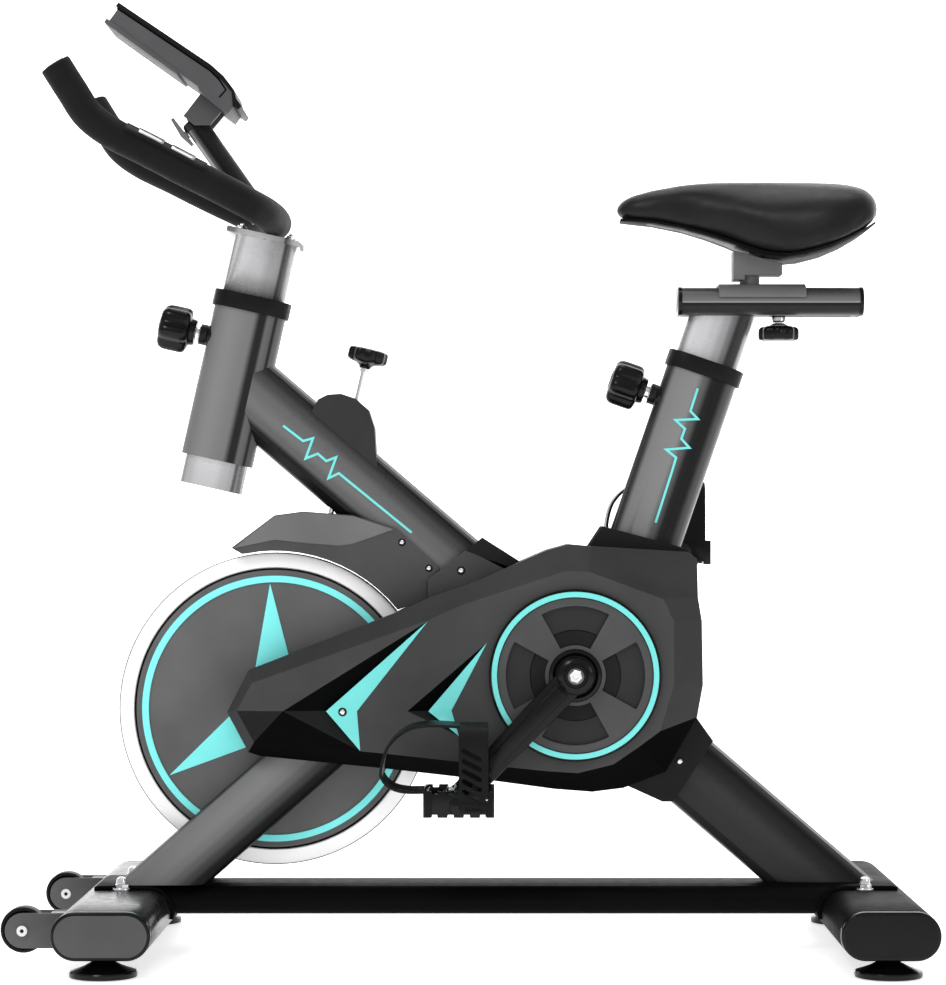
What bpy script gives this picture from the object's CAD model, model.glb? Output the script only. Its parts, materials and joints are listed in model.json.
"""Looks of the indoor spin bike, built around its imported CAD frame."""
import json
import math

import bmesh
import bpy
from mathutils import Matrix, Vector
from mathutils.geometry import delaunay_2d_cdt


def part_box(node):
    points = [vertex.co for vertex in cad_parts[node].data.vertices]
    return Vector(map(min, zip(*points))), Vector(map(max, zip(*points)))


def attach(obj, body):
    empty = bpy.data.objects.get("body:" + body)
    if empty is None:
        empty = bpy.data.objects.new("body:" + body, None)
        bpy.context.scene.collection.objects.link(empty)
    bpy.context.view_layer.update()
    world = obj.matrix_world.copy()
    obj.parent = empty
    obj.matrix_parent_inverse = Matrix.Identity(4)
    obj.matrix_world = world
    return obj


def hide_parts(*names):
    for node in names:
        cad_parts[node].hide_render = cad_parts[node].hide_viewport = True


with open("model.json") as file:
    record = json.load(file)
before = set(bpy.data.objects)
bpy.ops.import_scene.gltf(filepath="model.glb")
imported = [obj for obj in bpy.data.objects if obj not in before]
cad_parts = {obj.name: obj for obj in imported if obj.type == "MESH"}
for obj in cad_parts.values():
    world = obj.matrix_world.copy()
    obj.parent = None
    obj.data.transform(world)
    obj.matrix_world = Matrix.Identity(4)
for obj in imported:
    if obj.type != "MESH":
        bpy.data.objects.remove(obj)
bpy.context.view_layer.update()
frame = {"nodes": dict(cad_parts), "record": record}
NODES = frame["nodes"]
BODY_OF = {n: body for body, names in frame["record"]["behaviour"]["bodies"].items() for n in names}

# ---------------------------------------------------------------- the bike's own measures (millimetres)
Y_AXIS = Vector((0, 1, 0))
AXLE = Vector((-201, 0, 252))
CRANK = Vector((111, 0, 290))
HEAD_LEAN = math.radians(12.6)
SEAT_LEAN = math.radians(19)
MAIN_SLOPE = math.radians(40.67)
CRANK_ANGLE = math.radians(226.2)
CRANK_LENGTH = 170
STEM_LEAN = math.radians(35.1)
HEAD_DIR = Vector((math.sin(HEAD_LEAN), 0, math.cos(HEAD_LEAN)))
HEAD_FRONT = Vector((-math.cos(HEAD_LEAN), 0, math.sin(HEAD_LEAN)))
SEAT_DIR = Vector((math.sin(SEAT_LEAN), 0, math.cos(SEAT_LEAN)))
SEAT_FRONT = Vector((-math.cos(SEAT_LEAN), 0, math.sin(SEAT_LEAN)))
MAIN_DIR = Vector((math.cos(MAIN_SLOPE), 0, -math.sin(MAIN_SLOPE)))
STEM_DIR = Vector((-math.sin(STEM_LEAN), 0, math.cos(STEM_LEAN)))
STEM_FOOT = Vector((-216.2, 0, 766))
HEAD_JOINT = Vector((-244, 0, 596.7))
SEAT_JOINT = Vector((132.9, 0, 272.9))
KNOB_TOP = Vector((-103.4, 0, 628.5))
ROD_DIR = Vector((-0.22671, 0, -0.97396))
SIDES = (("left", -1), ("right", 1))
ENDS = (("front", -355.4), ("rear", 415.2))
STABILIZER_Z = 42.5
FOOT_Y = 210
TRANSPORT_WHEEL = (-441.2, 155, 40)


# ---------------------------------------------------------------- materials
def nodes_of(name):
    mat = bpy.data.materials.new(name)
    mat.use_nodes = True
    tree = mat.node_tree
    return mat, tree, tree.nodes["Principled BSDF"]


def link(tree, a, out, b, into):
    tree.links.new(a.outputs[out], b.inputs[into])


def noise(tree, coords, scale, detail=4.0, rough=0.55):
    n = tree.nodes.new("ShaderNodeTexNoise")
    n.inputs["Scale"].default_value = scale
    n.inputs["Detail"].default_value = detail
    n.inputs["Roughness"].default_value = rough
    link(tree, coords, "Object", n, "Vector")
    return n


def spread(tree, source, out, low, high, new_low, new_high):
    m = tree.nodes.new("ShaderNodeMapRange")
    m.inputs["From Min"].default_value = low
    m.inputs["From Max"].default_value = high
    m.inputs["To Min"].default_value = new_low
    m.inputs["To Max"].default_value = new_high
    link(tree, source, out, m, "Value")
    return m


def place_along(tree, coords, direction, low, high):
    """How far a point lies along a direction: 0 at low and 1 at high (metres)."""
    dot = tree.nodes.new("ShaderNodeVectorMath")
    dot.operation = "DOT_PRODUCT"
    link(tree, coords, "Object", dot, 0)
    dot.inputs[1].default_value = direction
    return spread(tree, dot, "Value", low, high, 0, 1)


def toned(tree, coords, direction, low, high, stops):
    """A grey ramp along a direction; each stop is (place from 0 to 1, grey level)."""
    ramp = tree.nodes.new("ShaderNodeValToRGB")
    ramp.color_ramp.interpolation = "EASE"
    while len(ramp.color_ramp.elements) < len(stops):
        ramp.color_ramp.elements.new(0.5)
    for element, (where, level) in zip(ramp.color_ramp.elements, stops):
        element.position = where
        element.color = (level, level, level * 1.02, 1)
    link(tree, place_along(tree, coords, direction, low, high), "Result", ramp, "Fac")
    return ramp


def surface(name, colour, metal=0.0, rough=0.4, vary=0.06, tone=0.12, grain=900.0, bump=0.05,
            coat=0.0, pattern="noise", wear=0.0, sheen=0.0, depth=0.0004, spec=0.12, graded=None, blend=None):
    """One procedural finish: base colour with slow drift, uneven gloss, and a fine relief."""
    mat, tree, bsdf = nodes_of(name)
    coords = tree.nodes.new("ShaderNodeTexCoord")
    slow = noise(tree, coords, 14.0, 3.0)
    cloud = noise(tree, coords, 85.0, 5.0)
    mix = tree.nodes.new("ShaderNodeMix")
    mix.data_type = "RGBA"
    mix.inputs["A"].default_value = (*[c * (1 - tone) for c in colour], 1)
    mix.inputs["B"].default_value = (*[min(1.0, c * (1 + tone)) for c in colour], 1)
    link(tree, spread(tree, slow, "Fac", 0.3, 0.7, 0, 1), "Result", mix, "Factor")
    last = mix
    if wear > 0:
        geometry = tree.nodes.new("ShaderNodeNewGeometry")
        edge = spread(tree, geometry, "Pointiness", 0.53, 0.62, 0, wear)
        worn = tree.nodes.new("ShaderNodeMix")
        worn.data_type = "RGBA"
        worn.inputs["B"].default_value = (*[min(1.0, c * 2.2 + 0.03) for c in colour], 1)
        link(tree, edge, "Result", worn, "Factor")
        link(tree, mix, "Result", worn, "A")
        last = worn
    if graded:
        ramps = [toned(tree, coords, *rows) for rows in graded]
        shade, out = ramps[0], "Color"
        if len(ramps) > 1:
            along = place_along(tree, coords, *blend)
            shade = tree.nodes.new("ShaderNodeMix")
            shade.data_type = "RGBA"
            link(tree, along, "Result", shade, "Factor")
            link(tree, ramps[0], "Color", shade, "A")
            link(tree, ramps[1], "Color", shade, "B")
            out = "Result"
        tinted = tree.nodes.new("ShaderNodeMix")
        tinted.data_type = "RGBA"
        tinted.inputs["Factor"].default_value = 0.93
        link(tree, last, "Result", tinted, "A")
        link(tree, shade, out, tinted, "B")
        last = tinted
    link(tree, last, "Result", bsdf, "Base Color")
    link(tree, spread(tree, cloud, "Fac", 0.3, 0.7, rough - vary, rough + vary), "Result", bsdf, "Roughness")
    bsdf.inputs["Metallic"].default_value = metal
    bsdf.inputs["Specular IOR Level"].default_value = spec if metal < 0.5 else 0.5
    if coat:
        bsdf.inputs["Coat Weight"].default_value = coat
        bsdf.inputs["Coat Roughness"].default_value = 0.08
    if sheen:
        bsdf.inputs["Sheen Weight"].default_value = sheen
        bsdf.inputs["Sheen Roughness"].default_value = 0.45
    if pattern == "noise":
        relief, out = noise(tree, coords, grain, 2.0), "Fac"
    else:
        relief = tree.nodes.new("ShaderNodeTexVoronoi")
        relief.feature = "DISTANCE_TO_EDGE" if pattern == "leather" else "F1"
        relief.inputs["Scale"].default_value = grain
        link(tree, coords, "Object", relief, "Vector")
        out = "Distance"
    b = tree.nodes.new("ShaderNodeBump")
    b.inputs["Strength"].default_value = bump
    b.inputs["Distance"].default_value = depth
    link(tree, relief, out, b, "Height")
    link(tree, b, "Normal", bsdf, "Normal")
    return mat


def across_range(node, along, middle=None, half=None):
    """Crosswise direction of a tube in the X-Z plane (pointing to +X) and the tube's span along it, in metres."""
    across = Vector((along.z, 0, -along.x))
    if across.x < 0:
        across = -across
    if middle is not None:
        centre = middle.dot(across)
        return across, (centre - half) / 1000, (centre + half) / 1000
    values = [(NODES[node].matrix_world @ v.co).dot(across) for v in NODES[node].data.vertices]
    return across, min(values), max(values)


def shaded(name, node, along, stops, metal=0.0, rough=0.3, middle=None, half=None, **more):
    """A finish whose tone runs across a tube, as polished paint or chrome does."""
    across, low, high = across_range(node, along, middle, half)
    return surface(name, (0.02, 0.02, 0.02) if metal < 0.5 else (0.6, 0.6, 0.62), metal=metal, rough=rough,
                   vary=0.03, graded=[(across, low, high, stops)], **more)


def half_span(node, along):
    across, low, high = across_range(node, along)
    return (high - low) * 500


MAIN_SPAN = across_range("main_tube", MAIN_DIR)
TUBE_HALF = half_span("main_tube", MAIN_DIR)
POST_HALF = half_span("seat_post", SEAT_DIR)
FORK_SLOPE = math.radians(41.3)
FORK_DIR = Vector((math.cos(FORK_SLOPE), 0, math.sin(FORK_SLOPE)))
FORK_MIDDLE = AXLE - Vector((-math.sin(FORK_SLOPE), 0, math.cos(FORK_SLOPE))) * 59.4
TEAL = (0.17, 0.72, 0.69)
def moulded(name, colour, rough=0.5, **more):
    """Black or grey plastic with a fine moulded grain."""
    return surface(name, colour, rough=rough, vary=0.05, grain=2400, bump=0.1, pattern="cells", **more)


M = {
    "paint": surface("satin_black_paint", (0.010, 0.010, 0.0104), rough=0.26, vary=0.04, grain=1500,
                     bump=0.03, wear=0.12, spec=0.2),
    "black_paint": surface("deep_black_paint", (0.0035, 0.0035, 0.0036), rough=0.5, vary=0.04, grain=1500,
                           bump=0.03, spec=0.025),
    "main": surface("main_tube_paint", (0.030, 0.030, 0.031), rough=0.3, vary=0.04, grain=1500, bump=0.03, spec=0.12,
                    graded=[(*MAIN_SPAN, [(0.0, 0.004), (0.17, 0.004), (0.26, 0.11), (0.4, 0.155), (0.6, 0.12),
                                          (0.75, 0.06), (0.87, 0.02), (0.91, 0.004), (0.95, 0.10), (1.0, 0.05)]),
                            (*MAIN_SPAN, [(0.0, 0.02), (0.3, 0.024), (0.55, 0.036), (0.75, 0.016), (0.88, 0.005),
                                          (0.95, 0.05), (1.0, 0.09)])],
                    blend=(MAIN_DIR, HEAD_JOINT.dot(MAIN_DIR) / 1000 + 0.36, HEAD_JOINT.dot(MAIN_DIR) / 1000 + 0.44)),
    "brake": surface("brake_cover_plastic", (0.030, 0.030, 0.031), rough=0.42, vary=0.04, grain=2400, bump=0.08,
                     pattern="cells", spec=0.12),
    "head": shaded("head_tube_paint", "head_tube", HEAD_DIR,
                   [(0.0, 0.006), (0.05, 0.17), (0.3, 0.21), (0.58, 0.17), (0.68, 0.012), (0.74, 0.012),
                    (0.79, 0.12), (0.85, 0.10), (0.89, 0.006), (0.93, 0.12), (1.0, 0.16)], spec=0.14, grain=1500,
                   bump=0.03, middle=HEAD_JOINT, half=TUBE_HALF),
    "seat": shaded("seat_tube_paint", "seat_tube", SEAT_DIR,
                   [(0.0, 0.006), (0.06, 0.03), (0.14, 0.2), (0.44, 0.22), (0.55, 0.10), (0.66, 0.010),
                    (0.8, 0.002), (0.9, 0.07), (1.0, 0.18)], spec=0.14, grain=1500, bump=0.03,
                   middle=SEAT_JOINT, half=TUBE_HALF),
    "fork": shaded("fork_leg_paint", "left_fork_leg", FORK_DIR,
                   [(0.0, 0.006), (0.07, 0.2), (0.35, 0.215), (0.5, 0.18), (0.62, 0.115), (0.75, 0.05),
                    (0.86, 0.006), (1.0, 0.001)], spec=0.08, grain=1500, bump=0.03, middle=FORK_MIDDLE, half=31),
    "metal": surface("dark_painted_metal", (0.115, 0.115, 0.12), metal=0.6, rough=0.34, vary=0.05, grain=1200,
                     bump=0.04, wear=0.2),
    "chrome": surface("chromed_steel", (0.78, 0.78, 0.80), metal=1.0, rough=0.18, vary=0.03, tone=0.03, grain=700,
                      bump=0.01),
    "bar_post": shaded("handlebar_post_chrome", "handlebar_post", HEAD_DIR,
                       [(0.0, 0.2), (0.1, 0.5), (0.3, 0.57), (0.5, 0.55), (0.7, 0.40), (0.8, 0.33), (0.85, 0.08),
                        (0.9, 0.2), (0.95, 0.42), (1.0, 0.5)], metal=0.45, rough=0.26, grain=700, bump=0.01,
                       middle=HEAD_JOINT, half=POST_HALF),
    "post": shaded("seat_post_chrome", "seat_post", SEAT_DIR,
                   [(0.0, 0.2), (0.12, 0.7), (0.3, 0.66), (0.45, 0.54), (0.6, 0.34), (0.7, 0.16), (0.78, 0.03),
                    (0.9, 0.04), (0.96, 0.4), (1.0, 0.5)], metal=0.45, rough=0.26, grain=700, bump=0.01,
                   middle=SEAT_JOINT, half=POST_HALF),
    "plastic": surface("black_moulded_plastic", (0.0045, 0.0045, 0.0047), rough=0.4, vary=0.06, grain=2600,
                       bump=0.08, pattern="cells", wear=0.1, spec=0.12),
    "gloss": surface("gloss_black_plastic", (0.0025, 0.0025, 0.0026), rough=0.2, vary=0.04, grain=1800, bump=0.04,
                     spec=0.2),
    "cover": moulded("grained_cover_plastic", (0.053, 0.053, 0.054)),
    "brow": moulded("guard_brow_plastic", (0.145, 0.145, 0.148)),
    "guard": moulded("guard_plastic", (0.066, 0.066, 0.068)),
    "rim": moulded("dark_cover_plastic", (0.013, 0.013, 0.0134), rough=0.48, spec=0.07),
    "shoulder": moulded("cover_shoulder_plastic", (0.036, 0.036, 0.0367), rough=0.48, spec=0.08),
    "facet": surface("black_cover_facet", (0.0012, 0.0012, 0.0013), rough=0.5, vary=0.05, grain=2400, bump=0.08,
                     pattern="cells", spec=0.03),
    "window": surface("crank_disc_floor_grey", (0.026, 0.026, 0.0265), rough=0.42, vary=0.05, grain=1300, bump=0.06),
    "disc": surface("grey_painted_disc", (0.118, 0.118, 0.12), rough=0.46, vary=0.05, grain=1300, bump=0.06),
    "crank": surface("crank_disc_grey", (0.070, 0.070, 0.072), rough=0.46, vary=0.05, grain=1300, bump=0.06),
    "rubber": surface("black_rubber", (0.006, 0.006, 0.006), rough=0.55, vary=0.08, grain=1700, bump=0.15,
                      spec=0.1),
    "foam": surface("closed_cell_grip_foam", (0.006, 0.006, 0.0062), rough=0.6, vary=0.06, grain=2300,
                    bump=0.35, pattern="cells", sheen=0.03, depth=0.0005, spec=0.1),
    "leather": surface("grained_saddle_leather", (0.010, 0.010, 0.0103), rough=0.36, vary=0.06, grain=650,
                       bump=0.16, pattern="leather", sheen=0.02, depth=0.0005, spec=0.14),
    "grey": surface("grey_plastic", (0.135, 0.135, 0.138), rough=0.42, vary=0.05, grain=1900, bump=0.1,
                    pattern="cells", wear=0.15),
    "stem": shaded("console_stem_metal", "console_stem", STEM_DIR,
                   [(0.0, 0.05), (0.08, 0.3), (0.2, 0.06), (0.35, 0.008), (0.6, 0.015), (0.85, 0.035), (1.0, 0.06)],
                   metal=0.45, rough=0.3, grain=1000, bump=0.02),
    "rail": shaded("seat_rail_metal", "seat_rail", Vector((1, 0, 0)),
                   [(0.0, 0.07), (0.1, 0.11), (0.5, 0.17), (0.56, 0.26), (0.6, 0.006), (0.75, 0.022), (1.0, 0.05)],
                   metal=0.4, rough=0.34, grain=1000, bump=0.02),
    "sensor": surface("pulse_plate_chrome", (0.30, 0.30, 0.31), metal=1.0, rough=0.2, vary=0.04, tone=0.03,
                      grain=700, bump=0.01),
    "pan": surface("saddle_pan_plastic", (0.004, 0.004, 0.0042), rough=0.5, spec=0.04,
                   vary=0.05, grain=1900, bump=0.1, pattern="cells"),
    "cap": moulded("grey_end_cap", (0.086, 0.086, 0.088)),
    "tray": surface("dark_grey_tray_plastic", (0.080, 0.080, 0.083), rough=0.45, vary=0.05, grain=1900, bump=0.1,
                    pattern="cells", wear=0.15),
    "steel": surface("polished_flywheel_steel", (0.97, 0.97, 0.97), metal=0.15, rough=0.24, vary=0.03, tone=0.02,
                     grain=600, bump=0.01),
    "bright_teal": surface("flywheel_teal", (0.24, 0.93, 0.91), rough=0.3, vary=0.04, tone=0.04,
                           grain=1300, bump=0.03),
    "teal": surface("teal_gloss_accent", TEAL, rough=0.3, vary=0.04, tone=0.04, grain=1300, bump=0.03, coat=0.4),
    "white": surface("white_nylon", (0.8, 0.8, 0.8), rough=0.4, vary=0.05, tone=0.03, grain=1200, bump=0.05),
    "belt": surface("ribbed_belt_rubber", (0.012, 0.012, 0.012), rough=0.6, vary=0.08, grain=1500, bump=0.2),
    "bracket": surface("grey_bracket_paint", (0.10, 0.10, 0.103), rough=0.36, vary=0.05, grain=1500, bump=0.06,
                       wear=0.3),
}


# ---------------------------------------------------------------- mesh building
def new_piece(name, mesh, mats, body, replaces=(), smooth=35.0):
    obj = bpy.data.objects.new(name, mesh)
    bpy.context.scene.collection.objects.link(obj)
    for m in ([mats] if isinstance(mats, str) else mats):
        mesh.materials.append(M[m])
    if smooth is not None:
        mesh.shade_smooth()
        mesh.set_sharp_from_angle(angle=math.radians(smooth))
    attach(obj, body)
    if replaces:
        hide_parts(*replaces)
    return obj


def mesh_from(name, points, faces, matrix=None):
    """A mesh in metres from points in millimetres."""
    mesh = bpy.data.meshes.new(name)
    mesh.from_pydata([[c / 1000 for c in p] for p in points], [], faces)
    bm = bmesh.new()
    bm.from_mesh(mesh)
    bmesh.ops.remove_doubles(bm, verts=bm.verts, dist=1e-6)
    bmesh.ops.recalc_face_normals(bm, faces=bm.faces)
    bm.to_mesh(mesh)
    bm.free()
    if matrix is not None:
        mesh.transform(matrix)
    return mesh


def apply_modifiers(obj):
    bpy.context.view_layer.update()
    graph = bpy.context.evaluated_depsgraph_get()
    mesh = bpy.data.meshes.new_from_object(obj.evaluated_get(graph), depsgraph=graph)
    for m in list(obj.modifiers):
        obj.modifiers.remove(m)
    obj.data = mesh
    return obj


def bevelled(obj, width, segments=2, angle=40.0):
    m = obj.modifiers.new("edge", "BEVEL")
    m.width = width / 1000
    m.segments = segments
    m.limit_method = "ANGLE"
    m.angle_limit = math.radians(angle)
    m.use_clamp_overlap = True
    m.harden_normals = False
    apply_modifiers(obj)
    obj.data.shade_smooth()
    obj.data.set_sharp_from_angle(angle=math.radians(50))
    return obj


def turned(name, profile, origin, axis, mats, body, replaces=(), segments=96, smooth=32.0):
    """A body of revolution; profile is (radius, height) along axis from origin, closed, or ended on the axis."""
    axis = Vector(axis).normalized()
    side = axis.orthogonal().normalized()
    other = axis.cross(side)
    ring = profile[0][0] > 1e-6
    rows = []
    points = []
    for r, h in profile:
        if r <= 1e-6:
            points.append(Vector(origin) + axis * h)
            rows.append([len(points) - 1] * segments)
            continue
        start = len(points)
        for i in range(segments):
            a = 2 * math.pi * i / segments
            points.append(Vector(origin) + axis * h + (side * math.cos(a) + other * math.sin(a)) * r)
        rows.append(list(range(start, start + segments)))
    faces = []
    count = len(rows)
    for k in range(count if ring else count - 1):
        a, b = rows[k], rows[(k + 1) % count]
        for i in range(segments):
            j = (i + 1) % segments
            quad = [a[i], a[j], b[j], b[i]]
            faces.append([v for n, v in enumerate(quad) if v not in quad[:n]])
    mesh = mesh_from(name, points, faces)
    obj = new_piece(name, mesh, mats, body, replaces, smooth)
    return obj


def plate(name, outlines, low, high, mats, body, slot, replaces=(), edge=0.6, matrix=None, origin=(0, 0),
          segments=2):
    """A flat outline (x, z) with holes, thickened along Y, its edges rounded."""
    curve = bpy.data.curves.new(name, "CURVE")
    curve.dimensions = "2D"
    curve.fill_mode = "BOTH"
    curve.extrude = (high - low) / 2000 - edge / 1000
    curve.bevel_depth = edge / 1000
    curve.offset = -edge / 1000
    curve.bevel_resolution = segments
    for outline in outlines:
        s = curve.splines.new("POLY")
        s.points.add(len(outline) - 1)
        for p, (x, z) in zip(s.points, outline):
            p.co = ((x + origin[0]) / 1000, (z + origin[1]) / 1000, 0, 1)
        s.use_cyclic_u = True
    holder = bpy.data.objects.new(name + "_curve", curve)
    bpy.context.scene.collection.objects.link(holder)
    bpy.context.view_layer.update()
    graph = bpy.context.evaluated_depsgraph_get()
    mesh = bpy.data.meshes.new_from_object(holder.evaluated_get(graph), depsgraph=graph)
    bpy.data.objects.remove(holder)
    bpy.data.curves.remove(curve)
    mesh.transform(Matrix(((1, 0, 0, 0), (0, 0, -1, (low + high) / 2000), (0, 1, 0, 0), (0, 0, 0, 1))))
    if matrix is not None:
        mesh.transform(matrix)
    mesh.materials.clear()
    bm = bmesh.new()
    bm.from_mesh(mesh)
    bmesh.ops.remove_doubles(bm, verts=bm.verts, dist=1e-6)
    bmesh.ops.recalc_face_normals(bm, faces=bm.faces)
    bm.to_mesh(mesh)
    bm.free()
    return new_piece(name, mesh, mats, body, replaces, 40)


def copy_of(node, name, mats, width=0.6, angle=40.0, smooth=35.0, segments=2):
    """The CAD node's own shape with rounded edges and smooth curves, standing for it."""
    mesh = NODES[node].data.copy()
    mesh.materials.clear()
    bm = bmesh.new()
    bm.from_mesh(mesh)
    bmesh.ops.remove_doubles(bm, verts=bm.verts, dist=2e-6)
    bmesh.ops.dissolve_limit(bm, angle_limit=math.radians(1.0), verts=bm.verts, edges=bm.edges)
    bm.to_mesh(mesh)
    bm.free()
    obj = new_piece(name, mesh, mats, BODY_OF[node], [node], smooth)
    if width:
        bevelled(obj, width, segments, angle)
    return obj


def swept(name, path, ring, mats, body, replaces=(), up=(0, 0, 1), smooth=40.0, scales=None, closed=False):
    """Carries a ring of (across, over) offsets along a path of points."""
    points = []
    n = len(path)
    up = Vector(up)
    for i, p in enumerate(path):
        if closed:
            t = (Vector(path[(i + 1) % n]) - Vector(path[i - 1])).normalized()
        else:
            t = (Vector(path[min(i + 1, n - 1)]) - Vector(path[max(i - 1, 0)])).normalized()
        across = t.cross(up).normalized()
        over = across.cross(t)
        k = 1.0 if scales is None else scales[i]
        for a, o in ring:
            points.append(Vector(p) + across * a * k + over * o * k)
    m = len(ring)
    faces = []
    for i in range(n if closed else n - 1):
        for j in range(m):
            a, b = i * m + j, i * m + (j + 1) % m
            c, d = ((i + 1) % n) * m + (j + 1) % m, ((i + 1) % n) * m + j
            faces.append([a, b, c, d])
    if not closed:
        faces.append(list(range(m))[::-1])
        faces.append([(n - 1) * m + j for j in range(m)])
    return new_piece(name, mesh_from(name, points, faces), mats, body, replaces, smooth)


def circle(radius, count=24, x=0.0, z=0.0, start=0.0):
    return [(x + radius * math.cos(start + 2 * math.pi * i / count),
             z + radius * math.sin(start + 2 * math.pi * i / count)) for i in range(count)]


def stadium(width, depth, count=14):
    r = depth / 2
    flat = width / 2 - r
    right = [(flat + r * math.cos(a), r * math.sin(a))
             for a in [-math.pi / 2 + math.pi * i / count for i in range(count + 1)]]
    return right + [(-x, -z) for x, z in right]


def smooth_path(points, steps=8):
    """Points on a Catmull-Rom curve through the given ones."""
    pts = [Vector(p) for p in points]
    ends = [pts[0] * 2 - pts[1]] + pts + [pts[-1] * 2 - pts[-2]]
    out = []
    for i in range(1, len(ends) - 2):
        a, b, c, d = ends[i - 1:i + 3]
        for s in range(steps):
            t = s / steps
            out.append(0.5 * (2 * b + (c - a) * t + (2 * a - 5 * b + 4 * c - d) * t ** 2
                              + (3 * b - a - 3 * c + d) * t ** 3))
    return out + [pts[-1]]


def cap_bolt(name, centre, axis, body, radius=4.2, height=3.0, mats="chrome"):
    """A button-head screw: black pressed collar, bright rounded head and a dark drive recess."""
    r, h = radius * 0.78, height
    turned(name + "_collar", [(r * 0.7, -0.4), (radius * 1.3, -0.4), (radius * 1.3, 0.5), (radius * 1.1, 1.0),
                              (r * 0.7, 1.0)], centre, axis, "gloss", body, segments=36)
    turned(name, [(0, h * 0.55), (r * 0.34, h * 0.55), (r * 0.36, h * 0.98), (r * 0.7, h * 0.94), (r * 0.95, h * 0.7),
                  (r, h * 0.4), (r, 0), (0, 0)], centre, axis, mats, body, segments=32)


def nut(name, centre, axis, body, radius=6.0, height=5.0):
    """A hexagonal nut on a washer with a domed end."""
    obj = turned(name, [(0, height + 2.4), (radius * 0.3, height + 2.2), (radius * 0.55, height + 0.8),
                        (radius * 0.6, height), (radius, height - 0.8), (radius, 1.0), (0, 1.0)],
                 centre, axis, "chrome", body, segments=6, smooth=20)
    washer = turned(name + "_washer", [(0, 1.2), (radius * 1.35, 1.2), (radius * 1.4, 0.6), (radius * 1.4, -0.4),
                                       (0, -0.4)], centre, axis, "chrome", body, segments=28)
    return obj, washer


def at(x, y, z):
    return Vector((x, y, z))


# ---------------------------------------------------------------- camera, light, floor
def lamp(name, kind, place, look, power, size=1.0, colour=(1, 1, 1), size_y=None):
    data = bpy.data.lights.new(name, kind)
    data.energy = power
    data.color = colour
    if kind == "AREA":
        data.shape = "RECTANGLE"
        data.size = size
        data.size_y = size_y or size
    obj = bpy.data.objects.new(name, data)
    bpy.context.scene.collection.objects.link(obj)
    obj.location = place
    obj.rotation_euler = (Vector(look) - Vector(place)).to_track_quat("-Z", "Y").to_euler()
    return obj


def studio():
    data = bpy.data.cameras.new("camera")
    data.lens = 112.06
    data.sensor_width = 36
    data.shift_x = -0.0244
    data.shift_y = 0.0381
    data.clip_end = 50
    camera = bpy.data.objects.new("camera", data)
    bpy.context.scene.collection.objects.link(camera)
    camera.location = (0.031, -3.219, 0.4386)
    camera.rotation_euler = (math.radians(90), 0, 0)
    bpy.context.scene.camera = camera
    world = bpy.data.worlds.new("studio")
    bpy.context.scene.world = world
    world.use_nodes = True
    world.node_tree.nodes["Background"].inputs["Color"].default_value = (1, 1, 1, 1)
    world.node_tree.nodes["Background"].inputs["Strength"].default_value = 0.60
    for name, corners, glow in (
            ("floor", [(-80, -80, -0.0005), (80, -80, -0.0005), (80, 80, -0.0005), (-80, 80, -0.0005)], 0.66),
            ("backdrop", [(-14, 9, -0.2), (14, 9, -0.2), (14, 9, 12), (-14, 9, 12)], 1.05)):
        mesh = bpy.data.meshes.new(name)
        mesh.from_pydata(corners, [], [(0, 1, 2, 3)])
        mat, tree, bsdf = nodes_of("pale_" + name)
        bsdf.inputs["Base Color"].default_value = (0.9, 0.9, 0.9, 1)
        bsdf.inputs["Roughness"].default_value = 0.7
        bsdf.inputs["Specular IOR Level"].default_value = 0.1
        bsdf.inputs["Emission Color"].default_value = (1, 1, 1, 1)
        bsdf.inputs["Emission Strength"].default_value = glow
        mesh.materials.append(mat)
        piece = bpy.data.objects.new(name, mesh)
        bpy.context.scene.collection.objects.link(piece)
    lamp("key", "AREA", (-1.3, -2.4, 2.8), (0, 0, 0.5), 30, 1.0)
    lamp("top", "AREA", (0.2, 0.3, 3.0), (0, 0, 0.4), 26, 1.6)
    lamp("fill", "AREA", (2.4, -1.8, 1.2), (0.1, 0, 0.4), 6, 0.8)
    scene = bpy.context.scene
    scene.view_settings.view_transform = "Standard"
    scene.view_settings.look = "None"
    scene.view_settings.exposure = 0.0


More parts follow.
